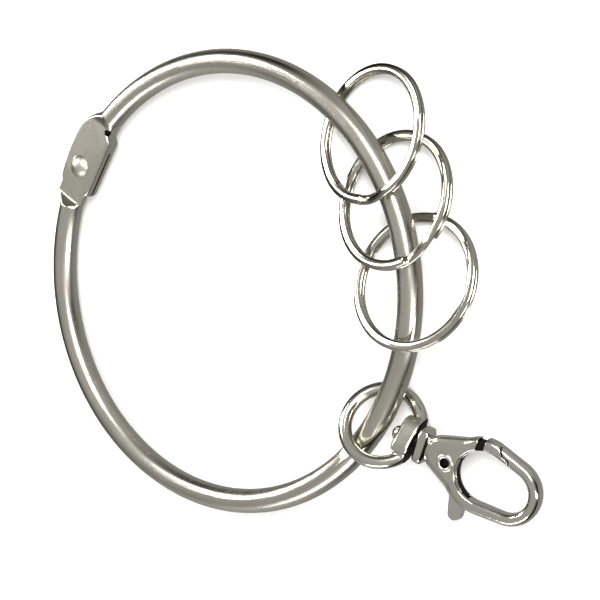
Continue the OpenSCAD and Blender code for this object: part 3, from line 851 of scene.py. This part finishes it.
def makeTrigger():
    plate = triggerShape("trigger", 0, -trigger["thickness"] / 2, trigger["thickness"] / 2)
    gate = loopBar("gateBar", hook["thickness"] - 0.2)
    combine(gate, gateCutter(trigger["gap"]), "INTERSECT")
    combine(gate, block("gateEnd", (19.3, 0, -5), (32, 12, 5)), "INTERSECT")
    combine(plate, slab("flush", loopOutline(hook["bar"] + 0.08), -5, 5), "DIFFERENCE")
    combine(plate, gate, "UNION")
    combine(plate, pin("pivotHole", trigger["hole"], -5, 5, trigger["pivot"]), "DIFFERENCE")
    fused(plate, voxel=0.08, passes=3)
    gap = spring["wire"] / 2 + spring["room"]
    combine(plate, pin("springRoom", spring["radius"] + gap, -gap, 2, trigger["pivot"]), "DIFFERENCE")
    for side, level in ((0, 0), (1, spring["turns"] * spring["pitch"])):
        combine(plate, slab("legRoom", legSweep(side), level - gap, 2), "DIFFERENCE")
    # only the gate and the thumb tab are out in the light; the trigger's side walls inside the slot, and all its faces
    # there past the gate's start, get painted shade, dark steel standing in for the slot's shade
    middle = hook["thickness"] / 2 - 0.6
    hidden = [abs(f.center.z) < middle and f.center.y > -5.6 and f.center.x < 19.4
              and (abs(f.normal.z) < 0.6 or f.center.x > trigger["gate"]) for f in plate.data.polygons]
    put(plate, atHook)
    finishPiece(plate, castNickel, "trigger", "trigger", hidden)


def makeTriggerSpring():
    # two turns round the rivet, one leg bearing on the trigger and the other in the hook's body
    full, climb = 360 * spring["turns"], spring["turns"] * spring["pitch"]
    path = [(spring["legs"][0], spring["radius"], 0)]
    path += [polar(spring["radius"], 90 + a) + (climb * a / full,) for a in range(0, full + 1, 10)]
    path.append((-spring["legs"][1], spring["radius"], climb))
    mesh = bpy.data.meshes.new("springPath")
    mesh.from_pydata(path, [(k, k + 1) for k in range(len(path) - 1)], [])
    wire = grow("triggerSpring", wireOnPath, {"Wire Diameter": spring["wire"], "Around": 16}, mesh)
    faceOutwards(wire)
    shadeByAngle(wire, 50)
    put(wire, atHook @ move(*trigger["pivot"]))
    finishPiece(wire, springSteel, "hook", "trigger_spring")


hollowRivet = {"radius": 1.2, "hole": 0.85, "rim": 0.3, "overlap": 0.42}


def makeHollowRivet():
    half, r, hole = hook["thickness"] / 2, hollowRivet["radius"], hollowRivet["hole"]
    edge = r + hollowRivet["overlap"]
    across = (edge - hole) / 2  # half the width of the rolled rim
    rolled = [(hole + across - across * cos(pi * k / 16), half + hollowRivet["rim"] * sin(pi * k / 16))
              for k in range(17)]
    top = [(hole, 0)] + rolled + [(edge, half - 0.03), (r, half - 0.04), (r, 0)]
    outline = top + [(a, -z) for a, z in reversed(top[:-1])][:-1]
    rivet = lathed("hollowRivet", outline + [outline[0]])
    shadeByAngle(rivet, 35)
    # painted shade: the rivet's bore gets the dark steel, standing in for the shade inside the hole
    bore = [hypot(f.center.x, f.center.y) < hole + 0.02 for f in rivet.data.polygons]
    put(rivet, atHook @ move(*trigger["pivot"]))
    finishPiece(rivet, rivetNickel, "hook", "trigger_rivet", bore)


makeUpperHalf()
makeLowerHalf()
makeHingeRivet()
makeSplitRings()
makeEye()
makeHook()
makeTrigger()
makeHollowRivet()
makeTriggerSpring()


def makeFloor():
    level = min(corner[2] for corner in cadBox)
    floor = fromPoints("floor", [(x, y, level) for x, y in ((-1.5, -1.5), (1.5, -1.5), (1.5, 1.5), (-1.5, 1.5))],
                       [(0, 1, 2, 3)])
    paper = bpy.data.materials.new("matt_white_paper")
    paper.use_nodes = True
    shader = paper.node_tree.nodes["Principled BSDF"]
    shader.inputs["Base Color"].default_value = linear("#EFEEEC")
    shader.inputs["Roughness"].default_value = 0.9
    floor.data.materials.append(paper)
    floor.visible_glossy = False  # the metal mirrors the dim tent, as it does in a product tent


def makeLight(name, place, size, power):
    lamp = bpy.data.lights.new(name, "AREA")
    lamp.shape, lamp.size, lamp.size_y, lamp.energy = "RECTANGLE", size[0], size[1], power
    thing = bpy.data.objects.new(name, lamp)
    thing.location = place
    thing.rotation_euler = (-thing.location).to_track_quat("-Z", "Y").to_euler()  # towards the middle of the hoop
    bpy.context.scene.collection.objects.link(thing)


studio = {
    "fill": 0.75,  # the even white light that falls on the floor
    # how bright the tent is from straight below to straight above
    "tent": ((0.0, 0.38), (0.34, 0.30), (0.44, 0.006), (0.585, 0.006), (0.70, 0.20), (0.88, 0.43), (1.0, 0.46)),
    "walls": 0.46,  # the tent's walls at the front and back are bright down to the table
    # name, place in metres, width and height in metres, power in watts
    "lights": (("softboxAbove", (0.10, 0.40, 0.52), (0.40, 0.14), 3.2),
               ("softboxLeft", (-0.50, -0.08, 0.26), (0.08, 0.40), 1.2),
               ("softboxBack", (-0.46, 0.15, 0.37), (0.12, 0.16), 0.8),
               ("softboxFront", (0.22, -0.40, 0.26), (0.34, 0.08), 1.0),
               ("softboxRight", (0.50, 0.12, 0.22), (0.08, 0.40), 1.0))}


def makeStudio():
    world = bpy.data.worlds.new("tent")
    world.use_nodes = True
    bpy.context.scene.world = world
    tree = world.node_tree
    tree.nodes.clear()
    way = addNode(tree, "ShaderNodeTexCoord").outputs["Generated"]
    split = addNode(tree, "ShaderNodeSeparateXYZ", Vector=way)
    rise = addNode(tree, "ShaderNodeMapRange", Value=split.outputs["Z"], From_Min=-1.0)
    ramp = addNode(tree, "ShaderNodeValToRGB", Fac=rise.outputs[0])
    while len(ramp.color_ramp.elements) < len(studio["tent"]):
        ramp.color_ramp.elements.new(0.5)
    for element, (place, level) in zip(ramp.color_ramp.elements, studio["tent"]):
        element.position, element.color = place, (level, level, level, 1)
    facing = addNode(tree, "ShaderNodeMath", {"operation": "ABSOLUTE"}, in0=split.outputs["Y"])
    wall = addNode(tree, "ShaderNodeMapRange", {"interpolation_type": "SMOOTHSTEP"}, Value=facing.outputs[0],
                   From_Min=0.7, From_Max=1.0)
    around = addNode(tree, "ShaderNodeMix", {"data_type": "RGBA"}, in0=wall.outputs[0], in6=ramp.outputs[0],
                     in7=(studio["walls"],) * 3 + (1,))
    # metal mirrors the tent, paper is lit by the even fill, and the camera sees plain white
    ray = addNode(tree, "ShaderNodeLightPath").outputs
    pale = addNode(tree, "ShaderNodeBackground", Color=(1, 1, 1, 1), Strength=1.0)
    fill = addNode(tree, "ShaderNodeBackground", Color=(1, 1, 1, 1), Strength=studio["fill"])
    tent = addNode(tree, "ShaderNodeBackground", Color=around.outputs[2], Strength=1.0)
    lit = addNode(tree, "ShaderNodeMixShader", in0=ray["Is Diffuse Ray"], in1=tent.outputs[0], in2=fill.outputs[0])
    both = addNode(tree, "ShaderNodeMixShader", in0=ray["Is Camera Ray"], in1=lit.outputs[0], in2=pale.outputs[0])
    addNode(tree, "ShaderNodeOutputWorld", Surface=both.outputs[0])
    for row in studio["lights"]:
        makeLight(*row)
    bpy.context.scene.view_settings.view_transform = "Standard"
    bpy.context.scene.view_settings.look = "Medium High Contrast"


# A long lens from above: its focal length, the picture's two directions, and its place in metres.
view = {"sensor": 36, "lens": 130.716, "across": (0.71214, 0.41034, -0.56962), "upward": (-0.55488, 0.82607, -0.09863),
        "place": (0.18347, 0.15749, 0.31936)}


def makeCamera():
    lens = bpy.data.cameras.new("camera")
    lens.sensor_width, lens.lens = view["sensor"], view["lens"]
    lens.clip_start, lens.clip_end = 0.01, 10
    camera = bpy.data.objects.new("camera", lens)
    bpy.context.scene.collection.objects.link(camera)
    across, upward = Vector(view["across"]), Vector(view["upward"])
    looking = Matrix((across, upward, across.cross(upward))).transposed().to_4x4()
    looking.translation = Vector(view["place"])
    camera.matrix_world = looking
    bpy.context.scene.camera = camera


makeFloor()
makeStudio()
makeCamera()
print("floor, lights and camera ready")
